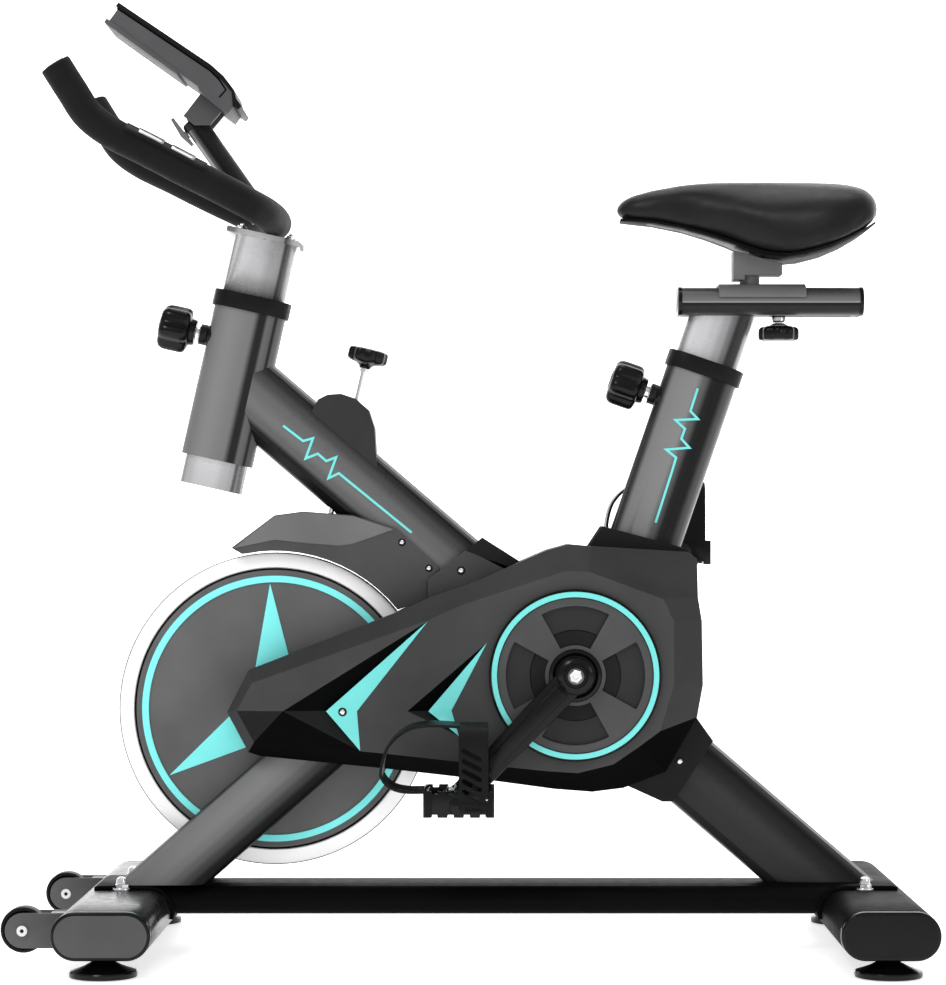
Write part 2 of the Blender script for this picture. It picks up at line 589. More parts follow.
# ---------------------------------------------------------------- base, feet and wheels
def build_base():
    copy_of("base_beam", "base_beam_look", "black_paint", 0.8, 50)
    for end, x in ENDS:
        bar = swept(f"{end}_stabilizer_look", [(x, y, STABILIZER_Z) for y in (-229.5, -150, 0, 150, 229.5)],
                    stadium(98, 48, 20), "paint" if end == "front" else "black_paint", "frame",
                    [f"{end}_stabilizer"])
        bevelled(bar, 0.5, 2, 60)
        for name, side in SIDES:
            plate(f"{end}_{name}_cap_look", [[(x + a, STABILIZER_Z + b) for a, b in stadium(98, 48, 20)]],
                  *sorted((side * 220.6, side * 235)), "gloss", "frame", "black_plastic",
                  [f"{end}_{name}_cap"], edge=2.2, segments=4)
            plate(f"{end}_{name}_cap_face", [[(x + a, STABILIZER_Z + b) for a, b in stadium(91, 41, 20)]],
                  *sorted((side * 234.2, side * 235.6)), "cap" if end == "front" else "rim", "frame",
                  "cover_plastic", edge=0.5)
    pad = [(0, 0), (30.5, 0), (33.2, 0.8), (33.5, 2.2), (33.5, 5.2), (32.6, 6.6), (26, 8.8), (19, 11.4), (13, 14.6),
           (10.2, 16.6), (9.0, 18.1), (4.2, 18.1), (4.2, 35), (0, 35)]
    for end, x in ENDS:
        for name, side in SIDES:
            foot = f"{end}_{name}_foot"
            turned(foot + "_look", pad, at(x, side * FOOT_Y, 0), (0, 0, 1), "gloss", foot, [foot],
                   segments=72)
            turned(foot + "_nut", [(4.3, 16.3), (9.2, 16.3), (9.6, 17.0), (9.6, 18.2), (4.3, 18.2)],
                   at(x, side * FOOT_Y, 0), (0, 0, 1), "gloss", foot, segments=6, smooth=20)
    for name, side in SIDES:
        wheel = f"{name}_transport_wheel"
        wheel_x, y, wheel_z = TRANSPORT_WHEEL[0], side * TRANSPORT_WHEEL[1], TRANSPORT_WHEEL[2]
        tread = [(4.4, -9), (8.6, -9), (9.4, -8.4), (10.5, -6.6), (17.2, -6.6), (18.4, -8.6), (19.6, -9.8),
                 (21.4, -9.8), (22.7, -8.4), (23, -6.8), (23, 6.8), (22.7, 8.4), (21.4, 9.8), (19.6, 9.8),
                 (18.4, 8.6), (17.2, 6.6), (10.5, 6.6), (9.4, 8.4), (8.6, 9), (4.4, 9)]
        turned(wheel + "_look", tread, at(wheel_x, y, wheel_z), Y_AXIS, "plastic", wheel, [wheel],
               segments=96, smooth=30)
        copy_of(f"{name}_wheel_bracket", f"{name}_wheel_bracket_look", "bracket", 0.5, 50)
        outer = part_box(f"{name}_wheel_bracket")
        for face in (-1, 1):
            edge = (outer[0].y if face < 0 else outer[1].y) * 1000
            turned(f"{name}_wheel_washer_{'in' if face == -side else 'out'}",
                   [(1.9, -0.3), (5.2, -0.3), (5.4, 0.2), (5.2, 0.9), (2.0, 1.1)], at(wheel_x, edge, wheel_z),
                   (0, face, 0), "white", "frame", segments=40)
            turned(f"{name}_wheel_bolt_{'in' if face == -side else 'out'}",
                   [(0, 0.4), (1.9, 0.6), (2.2, 0.2), (2.2, -0.6), (0, -0.6)], at(wheel_x, edge, wheel_z),
                   (0, face, 0), "gloss", "frame", segments=30)
    for end, x in ENDS:
        for name, side in SIDES:
            spot = at(-357 if end == "front" else 411, side * 50, 66.3)
            turned(f"{end}_{name}_cap_washer", [(5, 0), (9, 0), (9, 1.2), (8.4, 1.7), (5, 1.7)], spot, (0, 0, 1),
                   "chrome", "frame", segments=48)
            nut(f"{end}_{name}_cap_nut", spot + Vector((0, 0, 1.5)), (0, 0, 1), "frame", 7.2, 5.4)
            turned(f"{end}_{name}_cap_dome", [(0, 14.2), (2.6, 13.8), (4.6, 12.2), (5.4, 9.8), (5.6, 6.6), (0, 6.6)],
                   spot, (0, 0, 1), "chrome", "frame", segments=40)


# ---------------------------------------------------------------- welded frame and decals
def ecg(name, origin, along, across, y, shape, body="frame"):
    """A thin raised line with sharp turns, laid on the flat side of a tube."""
    pts = [origin + along * a + across * c for a, c in shape]
    half = 1.25
    left, right = [], []
    for i, p in enumerate(pts):
        d0 = (pts[i] - pts[i - 1]).normalized() if i else None
        d1 = (pts[i + 1] - pts[i]).normalized() if i + 1 < len(pts) else None
        if d0 is None:
            d0 = d1
        if d1 is None:
            d1 = d0
        n0 = Vector((-d0.z, 0, d0.x))
        n1 = Vector((-d1.z, 0, d1.x))
        n = (n0 + n1).normalized()
        k = half / max(0.35, n.dot(n1))
        left.append((p.x + n.x * k, p.z + n.z * k))
        right.append((p.x - n.x * k, p.z - n.z * k))
    return plate(name, [left + right[::-1]], *sorted((y, y * 1.02)), "teal", body, "teal_accent", edge=0.1,
                 segments=1)


def build_frame():
    for node, kind in (("main_tube", "main"), ("head_tube", "head"), ("seat_tube", "seat"),
                       ("left_fork_leg", "fork"), ("right_fork_leg", "fork"), ("bottom_bracket_shell", "paint")):
        copy_of(node, node + "_look", kind, 0, smooth=40)
    for node in ("head_tube_collar", "seat_tube_collar"):
        copy_of(node, node + "_look", "plastic", 1.0, 50, segments=3)
    main = [(71.4, -3.5), (97.6, -2.1), (103.6, 6.8), (111.5, -14.2), (117.9, -2.1), (129.6, -2.2), (134.8, 7.5),
            (143.0, -14.3), (147.9, -3.3), (245.9, -0.8)]
    seat = [(331.4, -0.4), (306.5, 0.1), (301.2, 10.0), (292.6, -11.7), (287.1, 0.7), (276.1, 0.5), (270.0, 11.4),
            (260.3, -10.8), (255.7, 1.7), (242.2, 2.3), (184.6, 3.6)]
    over_main = Vector((-MAIN_DIR.z, 0, MAIN_DIR.x))
    over_seat = Vector((SEAT_DIR.z, 0, -SEAT_DIR.x))
    for name, side in SIDES:
        ecg(f"{name}_main_tube_line", HEAD_JOINT, MAIN_DIR, over_main, side * 20.1, main)
        ecg(f"{name}_seat_tube_line", SEAT_JOINT, SEAT_DIR, over_seat, side * 20.1, seat)


# ---------------------------------------------------------------- flywheel and drive
def build_flywheel():
    casting = [(10.3, -18), (21, -18), (22, -17), (22, -8), (147, -8), (147.2, -11.4), (148, -12), (160.6, -12),
               (162.4, -11.2), (163, -9.6), (163, 9.6), (162.4, 11.2), (160.6, 12), (148, 12), (147.2, 11.4),
               (147, 8), (22, 8), (22, 17), (21, 18), (10.3, 18)]
    turned("flywheel_look", casting, AXLE, Y_AXIS, "steel", "flywheel", ["flywheel"],
           segments=160)
    for name, side in SIDES:
        face = [(22.4, 8.3), (146.4, 8.3), (146.4, 12.2), (145.6, 13.0), (142.2, 13.2), (141.4, 12.7), (139.8, 12.7),
                (139.2, 13.2), (132, 13.2), (131.4, 12.7), (130.4, 12.7), (129.8, 13.2), (60, 13.4), (22.4, 13.4)]
        turned(f"flywheel_{name}_face_look", face, AXLE, (0, side, 0), "disc", "flywheel",
               [f"flywheel_{name}_face"], segments=160)
        turned(f"flywheel_{name}_ring", [(132, 12.9), (139, 12.9), (139, 13.8), (138.6, 14.1), (132.4, 14.1),
                                         (132, 13.8)], AXLE, (0, side, 0), "bright_teal", "flywheel",
               segments=160)
        turned(f"flywheel_{name}_edge", [(145.0, 12.5), (146.7, 12.5), (146.7, 13.5), (145.0, 13.5)], AXLE,
               (0, side, 0), "facet", "flywheel", segments=160)
        turned(f"flywheel_{name}_line", [(162.0, 11.2), (162.9, 10.2), (163.1, 10.3), (162.2, 11.5)], AXLE,
               (0, side, 0), "disc", "flywheel", segments=160)
        for i in range(3):
            a = math.radians(92.3 + 120 * i)
            u, v = (math.cos(a), math.sin(a)), (-math.sin(a), math.cos(a))
            kite = [(131, 0), (36, 20.5), (33, 0), (36, -20.5)]
            pts = [(AXLE.x + r * u[0] + w * v[0], AXLE.z + r * u[1] + w * v[1]) for r, w in kite]
            plate(f"flywheel_{name}_wedge_{i + 1}", [pts], *sorted((side * 13.1, side * 14.1)),
                  "bright_teal", "flywheel", "teal_accent", edge=0.25)
        turned(f"flywheel_{name}_hub_cap", [(10.4, 13), (24, 13), (25, 15), (23, 18), (14, 19.5), (10.4, 19.5)], AXLE,
               (0, side, 0), "gloss", "flywheel", segments=64)
    copy_of("flywheel_axle", "flywheel_axle_look", "metal", 0.4)
    copy_of("flywheel_pulley", "flywheel_pulley_look", "metal", 0.4)
    copy_of("drive_belt", "drive_belt_look", "belt", 0.4)
    copy_of("drive_pulley", "drive_pulley_look", "plastic", 0.4)
    copy_of("crank_spindle", "crank_spindle_look", "metal", 0.4)


def arc(radius, start, end, count):
    return [(radius * math.cos(start + (end - start) * i / count),
             radius * math.sin(start + (end - start) * i / count)) for i in range(count + 1)]


def build_crank():
    place = (CRANK.x, CRANK.z)
    windows = []
    spread_angle = math.radians(29)
    for i in range(4):
        middle = math.pi * i / 2
        windows.append(arc(71, middle - spread_angle, middle + spread_angle, 20)
                       + arc(31, middle + spread_angle, middle - spread_angle, 12))
    plate("crank_disc_look", [circle(79.6, 120), circle(8.9, 40)] + windows, -90.2, -86.4, "crank", "crank",
          "disc_grey", ["crank_disc"], edge=0.7, origin=place, segments=3)
    turned("crank_disc_edge", [(79.2, 85.4), (88, 85.4), (88, 88.6), (87, 90.6), (85.6, 91), (79.2, 91)], CRANK,
           -Y_AXIS, "gloss", "crank", segments=140)
    turned("crank_disc_ring", [(80, 90), (85.5, 90), (85.5, 91.6), (84.9, 92), (80.6, 92), (80, 91.6)], CRANK,
           -Y_AXIS, "teal", "crank", segments=140)
    turned("crank_disc_floor", [(9, 84.6), (80, 84.6), (80, 85.6), (46.5, 85.6), (45.5, 87.2), (29, 87.2), (9, 87.2)],
           CRANK, -Y_AXIS, "rim", "crank", segments=120)
    turned("crank_disc_floor_ring", [(46.8, 85.4), (79.4, 85.4), (79.4, 86.0), (46.8, 86.0)], CRANK, -Y_AXIS,
           "window", "crank", segments=120)
    turned("crank_disc_hub", [(8.9, 87), (27.5, 87), (27.5, 89.8), (26.2, 92.2), (23.4, 93), (21.4, 92.2), (20.4, 90.8),
                              (8.9, 90.8)], CRANK, -Y_AXIS, "gloss", "crank", segments=96)
    for name, side in SIDES:
        reach = CRANK_ANGLE if side < 0 else CRANK_ANGLE + math.pi
        d = Vector((math.cos(reach), 0, math.sin(reach)))
        n = Vector((-d.z, 0, d.x))
        end = CRANK + d * CRANK_LENGTH

        def outline(hub, eye):
            start = math.asin((hub - eye) / CRANK_LENGTH)
            pts = []
            for i in range(25):
                a = math.pi / 2 - start + (math.pi + 2 * start) * i / 24
                p = CRANK + d * (math.cos(a) * hub) + n * math.sin(a) * hub
                pts.append((p.x, p.z))
            for i in range(17):
                a = -math.pi / 2 - start + (math.pi + 2 * start) * i / 16
                p = end + d * (math.cos(a) * eye) + n * math.sin(a) * eye
                pts.append((p.x, p.z))
            return pts
        plate(f"{name}_crank_arm_look", [outline(15.5, 13)], *sorted((side * 95, side * 105)), "gloss", "crank",
              "frame_paint", [f"{name}_crank_arm"], edge=2.2, segments=4)
        rib = [CRANK + d * 20 + n * 8.0, end - d * 13 + n * 6.2, end - d * 13 - n * 6.2, CRANK + d * 20 - n * 8.0]
        plate(f"{name}_crank_arm_rib", [[(p.x, p.z) for p in rib]], *sorted((side * 104, side * 107.6)), "gloss",
              "crank", "frame_paint", edge=1.6, segments=3)
        turned(f"{name}_crank_boss", [(8.9, 93.2), (17, 93.2), (19, 95), (19.4, 104), (18, 108), (15.4, 109.8),
                                      (12.4, 110.3), (11.6, 108.6), (8.9, 108.6)], CRANK, (0, side, 0), "gloss",
               "crank", segments=80)
        turned(f"{name}_crank_bolt_seat", [(0, 108.2), (11.4, 108.2), (11.4, 108.8), (8.4, 109.2), (0, 109.2)], CRANK,
               (0, side, 0), "plastic", "crank", segments=64)
        turned(f"{name}_crank_bolt", [(0, 110.6), (3.0, 110.6), (3.4, 112.2), (6.2, 112.2), (7, 111.4), (7, 109),
                                      (0, 109)],
               CRANK, (0, side, 0), "chrome", "crank", segments=6, smooth=20)
        turned(f"{name}_pedal_eye", [(0, 94), (13.2, 94), (13.8, 96), (13.8, 106), (12.4, 109), (8.6, 110.4),
                                     (0, 110.4)], end, (0, side, 0), "gloss", "crank", segments=64)
        turned(f"{name}_pedal_spindle", [(0, 104), (6, 104), (6, 199), (5, 200), (0, 200)], end, (0, side, 0),
               "metal", "crank", segments=40)
        build_pedal(name, side, end)


def build_pedal(name, side, centre):
    body = f"{name}_pedal"
    copy_of(body, body + "_look", "gloss", 0.9, 50, segments=3)
    turned(body + "_end_cap", [(0, 210.2), (4.6, 210.2), (6.2, 209.4), (8.8, 209), (9.4, 208.2), (9.4, 207),
                               (0, 207)], centre, (0, side, 0), "gloss", body, segments=48)
    for i, x in enumerate((-29.5, 29.5)):
        plate(f"{body}_end_plate_{i + 1}", [[(x - 3.4, -10.5), (x + 3.4, -10.5), (x + 3.4, 13.5), (x - 3.4, 13.5)]],
              *sorted((side * 207.5, side * 209)), "plastic", body, "black_plastic", edge=0.5,
              origin=(centre.x, centre.z))
    hoop = smooth_path([(-32, 0, 12.5), (-52, 0, 12.5), (-66, 0, 16), (-75, 0, 24), (-77, 0, 34), (-70.5, 0, 56),
                        (-54, 0, 72), (-32, 0, 78), (8, 0, 76.5)], 7)
    section = [(w, t) for w, t in ((-33, -1.0), (-32.6, -1.4), (32.6, -1.4), (33, -1.0), (33, 1.0), (32.6, 1.4),
                                   (-32.6, 1.4), (-33, 1.0))]
    path = [centre + p + Vector((0, side * 163, 0)) for p in hoop]
    points, faces = [], []
    for i, p in enumerate(path):
        t = (path[min(i + 1, len(path) - 1)] - path[max(i - 1, 0)]).normalized()
        out = Vector((-t.z, 0, t.x))
        for w, k in section:
            points.append(p + Vector((0, w, 0)) + out * k)
    m = len(section)
    for i in range(len(path) - 1):
        for j in range(m):
            faces.append([i * m + j, i * m + (j + 1) % m, (i + 1) * m + (j + 1) % m, (i + 1) * m + j])
    faces += [list(range(m)), [(len(path) - 1) * m + j for j in range(m)]]
    new_piece(f"{name}_toe_hoop", mesh_from("hoop", points, faces), "plastic", body,
              [f"{name}_toe_cage"], 40)
    build_strap(name, side, centre, body)


def build_strap(name, side, centre, body):
    near, far = 115.1, 210.9
    slots = []
    for k in range(5):
        left, top = 5.0, 54.6 - 10.0 * k
        a = math.atan2(-9.2, 17.5)
        d, n = (math.cos(a), math.sin(a)), (-math.sin(a), math.cos(a))
        length, r = 17.6, 2.2
        pts = [(left + n[0] * r * math.cos(t) - d[0] * r * math.sin(t),
                top + n[1] * r * math.cos(t) - d[1] * r * math.sin(t))
               for t in [math.pi * i / 8 for i in range(9)]]
        pts += [(left + d[0] * length + -n[0] * r * math.cos(t) + d[0] * r * math.sin(t),
                 top + d[1] * length - n[1] * r * math.cos(t) + d[1] * r * math.sin(t))
                for t in [math.pi * i / 8 for i in range(9)]]
        slots.append(pts)
    panel = [(0, -2), (2, -5), (27, -5), (29, -2), (29, 61), (0, 61)]
    plate(f"{name}_strap_panel", [panel] + slots, *sorted((side * (far - 2.6), side * far)), "rubber", body,
          "rubber", edge=0.5, origin=(centre.x, centre.z))
    bend = smooth_path([(0, far - 1.3, 60), (0, far - 2.4, 67), (0, far - 8, 74.4), (0, far - 19, 76.8),
                        (0, 163, 77), (0, near + 19, 76.8), (0, near + 8, 74.4), (0, near + 2.4, 67),
                        (0, near + 1.3, 60), (0, near + 1.3, 8)], 5)
    points, faces = [], []
    section = [(0.4, -1.3), (28.6, -1.3), (29, -0.9), (29, 0.9), (28.6, 1.3), (0.4, 1.3), (0, 0.9), (0, -0.9)]
    for i, p in enumerate(bend):
        t = (bend[min(i + 1, len(bend) - 1)] - bend[max(i - 1, 0)]).normalized()
        out = Vector((0, -t.z, t.y))
        for w, k in section:
            q = p + Vector((w, 0, 0)) + out * k
            points.append(centre + Vector((q.x, side * q.y, q.z)))
    m = len(section)
    for i in range(len(bend) - 1):
        for j in range(m):
            faces.append([i * m + j, i * m + (j + 1) % m, (i + 1) * m + (j + 1) % m, (i + 1) * m + j])
    faces += [list(range(m)), [(len(bend) - 1) * m + j for j in range(m)]]
    new_piece(f"{name}_strap_band", mesh_from("band", points, faces), "rubber", body, smooth=40)
    plate(f"{name}_strap_buckle", [[(2, -7), (27, -7), (27, 2.5), (2, 2.5)], [(7, -4), (22, -4), (22, -1), (7, -1)]],
          *sorted((side * (far - 1), side * (far + 1.2))), "plastic", body, "black_plastic", edge=0.6,
          origin=(centre.x, centre.z))
    cap_bolt(f"{name}_strap_rivet", centre + Vector((27.6, side * (far - 1), 6.5)), (0, side, 0), body, 1.6, 1.6)


# ---------------------------------------------------------------- covers
RIM = [(-247, 251), (-225, 294), (-74, 353), (-41, 368), (-30, 372), (-18, 376.2), (13, 387), (55, 406), (83, 418),
       (105, 424), (122, 422.4), (128, 422), (228, 416), (232.5, 412.5), (237, 409), (238, 369), (242, 345),
       (243, 279), (237, 246), (205, 190), (161, 173), (129, 169), (90, 172), (31, 180), (-18, 185.5), (-30, 186.9),
       (-84, 193), (-213, 206), (-225, 210)]
FACE = [(-236, 253.3), (-220, 281.8), (-71, 335), (-39.6, 346.3), (-7, 361), (50, 380), (78, 389), (102, 397),
        (125, 396), (201, 368), (206, 358), (208, 352), (212, 346), (212, 281), (198, 233), (175, 216), (150, 199),
        (114, 190), (82, 192), (33, 197), (-84, 210), (-108.8, 212.2), (-218.3, 221)]
APEX = (-188, 253.3)
ARROWS = [
    # left point, top tip, inner notch, bottom tip
    [(-143.8, 253.3), (-39.6, 345.5), (-112.2, 253.3), (-108.8, 212.6)],
    [(-39.2, 253.3), (20.8, 323.5), (-15.5, 254), (-8.1, 227.9)],
]
RECESS = (-60.6, 253.3)


def inside(p, outline):
    hit = False
    for i, (x1, z1) in enumerate(outline):
        x2, z2 = outline[i - 1]
        if (z1 > p[1]) != (z2 > p[1]) and p[0] < (x2 - x1) * (p[1] - z1) / (z2 - z1) + x1:
            hit = not hit
    return hit


def build_cover(name, side):
    """The drive cover's moulded skin: side wall, chamfer, and a face with sunk facets."""
    flat = 84.0
    depth = {FACE[0]: 76.5, FACE[1]: 76.5, FACE[2]: 81.5, FACE[-1]: 76.5, FACE[-2]: 80.5, APEX: flat,
             ARROWS[0][0]: 75.5, RECESS: flat, ARROWS[1][0]: 77.0}
    hole = circle(22, 40, CRANK.x, CRANK.z)
    loose = [APEX, RECESS] + ARROWS[0] + ARROWS[1]
    verts = [Vector(p) for p in FACE + hole + loose]
    index = {p: i for i, p in enumerate(FACE + hole + loose)}
    edges = [(i, (i + 1) % len(FACE)) for i in range(len(FACE))]
    edges += [(len(FACE) + i, len(FACE) + (i + 1) % len(hole)) for i in range(len(hole))]
    a1, a2 = ARROWS
    for a, b in ((APEX, FACE[0]), (APEX, FACE[1]), (APEX, FACE[-1]), (APEX, a1[1]), (APEX, a1[0]), (APEX, FACE[-2]),
                 (a1[0], a1[1]), (a1[0], a1[3]), (a1[1], a1[2]), (a1[2], a1[3]), (RECESS, a2[1]), (RECESS, a2[0]),
                 (RECESS, a2[3]), (a2[0], a2[1]), (a2[0], a2[3]), (a2[1], a2[2]), (a2[2], a2[3])):
        edges.append((index[a], index[b]))
    out, _, tris, _, _, _ = delaunay_2d_cdt(verts, edges, [], 0, 1e-4)
    points = []
    for v in out:
        key = min(depth, key=lambda p: (p[0] - v.x) ** 2 + (p[1] - v.y) ** 2)
        near = (key[0] - v.x) ** 2 + (key[1] - v.y) ** 2 < 0.05
        points.append((v.x, side * (depth[key] if near else flat), v.y))
    black = [[APEX, a1[0], a1[1]], [RECESS, a2[0], a2[1]]]
    dark = [[APEX, a1[0], a1[3]], [RECESS, a2[0], a2[3]]]
    black.append([APEX, a1[3], FACE[-2], FACE[-1]])
    nose = [[APEX, FACE[0], FACE[-1]]]
    faces, kinds = [], []
    for t in tris:
        c = (sum(out[i].x for i in t) / 3, sum(out[i].y for i in t) / 3)
        if not inside(c, FACE) or inside(c, hole):
            continue
        faces.append(list(t))
        kinds.append(2 if any(inside(c, q) for q in black) else 3 if any(inside(c, q) for q in dark + nose) else 0)
    n = len(points)
    wall = [(x, side * 62.0, z) for x, z in RIM]
    # the halves meet at the middle, except over the flywheel and round the seat tube
    over_flywheel, round_seat_tube, at_middle = 22.5, 20.5, 0.4
    back = []
    for x, z in RIM:
        gap = over_flywheel if x < -20 else round_seat_tube if z > 400 and 127 < x < 229 else at_middle
        back.append((x, side * gap, z))
    points += wall + back
    m = len(RIM)
    face_ring = []
    for x, z in FACE:
        face_ring.append(min(range(n), key=lambda i: (points[i][0] - x) ** 2 + (points[i][2] - z) ** 2))
    pairs = {k: min(range(m), key=lambda j: (RIM[j][0] - FACE[k][0]) ** 2 + (RIM[j][1] - FACE[k][1]) ** 2)
             for k in range(len(FACE))}
    for k in range(len(FACE)):
        k2 = (k + 1) % len(FACE)
        j, j2 = pairs[k], pairs[k2]
        steps = (j2 - j) % m
        if steps > m // 2:
            steps = 0
        ring = [n + (j + s_) % m for s_ in range(steps + 1)]
        faces.append([face_ring[k2], face_ring[k]] + ring)
        kinds.append(2 if max(FACE[k][1], FACE[k2][1]) < 236 else 1)
    for j in range(m):
        j2 = (j + 1) % m
        faces.append([n + j, n + m + j, n + m + j2, n + j2])
        kinds.append(2 if max(RIM[j][1], RIM[j2][1]) < 225 else 1)
    mesh = bpy.data.meshes.new(f"{name}_cover_look")
    mesh.from_pydata([[c / 1000 for c in p] for p in points], [], faces)
    for poly, kind in zip(mesh.polygons, kinds):
        poly.material_index = kind
    bm = bmesh.new()
    bm.from_mesh(mesh)
    bmesh.ops.recalc_face_normals(bm, faces=bm.faces)
    up = [f for f in bm.faces if abs(f.normal.y) > 0.9]
    if up and sum(f.normal.y * side for f in up) < 0:
        bmesh.ops.reverse_faces(bm, faces=bm.faces)
    bm.to_mesh(mesh)
    bm.free()
    obj = new_piece(f"{name}_cover_look", mesh, ["cover", "shoulder", "facet", "rim"], "frame",
                    [f"{name}_cover"], None)
    bpy.context.view_layer.update()
    shell = obj.modifiers.new("wall", "SOLIDIFY")
    shell.thickness = 0.0024
    shell.offset = -1
    apply_modifiers(obj)
    bevelled(obj, 2.2, 3, 24)
    obj.data.shade_smooth()
    obj.data.set_sharp_from_angle(angle=math.radians(7))
    for i, arrow in enumerate(ARROWS):
        plate(f"{name}_cover_arrow_{i + 1}", [arrow], *sorted((side * 74, side * 84.7)), "teal", "frame",
              "teal_accent", edge=0.35)
    cap_bolt(f"{name}_cover_screw_front", at(-127, side * 84.6, 252.6), (0, side, 0), "frame", 3.4, 2.4)
    cap_bolt(f"{name}_cover_screw_top", at(-6.4, side * 29.8, 396.5), (0, side, 0), "frame", 3.4, 2.2)
    cap_bolt(f"{name}_cover_screw_rear", at(221, side * 29.8, 198), (0, side, 0), "frame", 3.4, 2.2)
    for tag, outline, kind in (
            ("front_collar", [(-41.5, 387), (-1.5, 417.4), (55, 398), (70, 360), (-10, 345), (-41.5, 366)], "cover"),
            ("front_collar_top", [(-1.5, 417.4), (15.4, 430.8), (56, 405), (40, 396)], "rim"),
            ("rear_collar", [(200, 240), (236, 247), (256, 219), (214, 156), (203, 156), (150, 180)], "rim"),
            ("seat_collar", [(114, 404), (140, 443), (230, 419), (237, 408), (225, 360), (130, 380)], "rim")):
        plate(f"{name}_{tag}", [outline], *sorted((side * 24.6, side * 30)), kind, "frame", "cover_plastic",
              edge=1.4, segments=3)


def build_guard():
    copy_of("flywheel_guard", "flywheel_guard_look", "guard", 1.4, 50, segments=3)
    upper = [(-244.6, 419.2), (-200.7, 428.4), (-165, 424.6), (-134, 422.2), (-120, 423.8), (-76.2, 439.2),
             (-119, 453.2), (-171, 457.2), (-201, 453.2)]
    for name, side in SIDES:
        plate(f"flywheel_guard_{name}_brow", [upper], *sorted((side * 23.4, side * 25.2)), "brow", "frame",
              "cover_plastic", edge=0.8, segments=3)
        cap_bolt(f"guard_{name}_screw_top", at(-68, side * 24, 425.8), (0, side, 0), "frame", 3.0, 2.2)
        cap_bolt(f"guard_{name}_screw_low", at(-40, side * 24, 398.8), (0, side, 0), "frame", 3.0, 2.2)
    copy_of("brake_cover", "brake_cover_look", "brake", 3.5, 50, segments=4)


# ---------------------------------------------------------------- knobs and pins
def lobed(name, profile, origin, axis, lobes, dip, mats, body, replaces=(), per_lobe=14):
    """A turned knob whose marked rows swell into lobes. profile rows are (radius, height, marked)."""
    axis = Vector(axis).normalized()
    side = axis.orthogonal().normalized()
    other = axis.cross(side)
    count = lobes * per_lobe
    points, rows, faces = [], [], []
    for r, h, marked in profile:
        start = len(points)
        for i in range(count):
            a = 2 * math.pi * i / count
            wave = abs(math.sin(lobes * a / 2)) ** 1.6
            k = 1 - dip * marked * (1 - wave)
            points.append(Vector(origin) + axis * h + (side * math.cos(a) + other * math.sin(a)) * r * k)
        rows.append(list(range(start, start + count)))
    for a, b in zip(rows, rows[1:]):
        for i in range(count):
            j = (i + 1) % count
            faces.append([a[i], a[j], b[j], b[i]])
    faces += [rows[0][::-1], rows[-1]]
    return new_piece(name, mesh_from(name, points, faces), mats, body, replaces, 42)


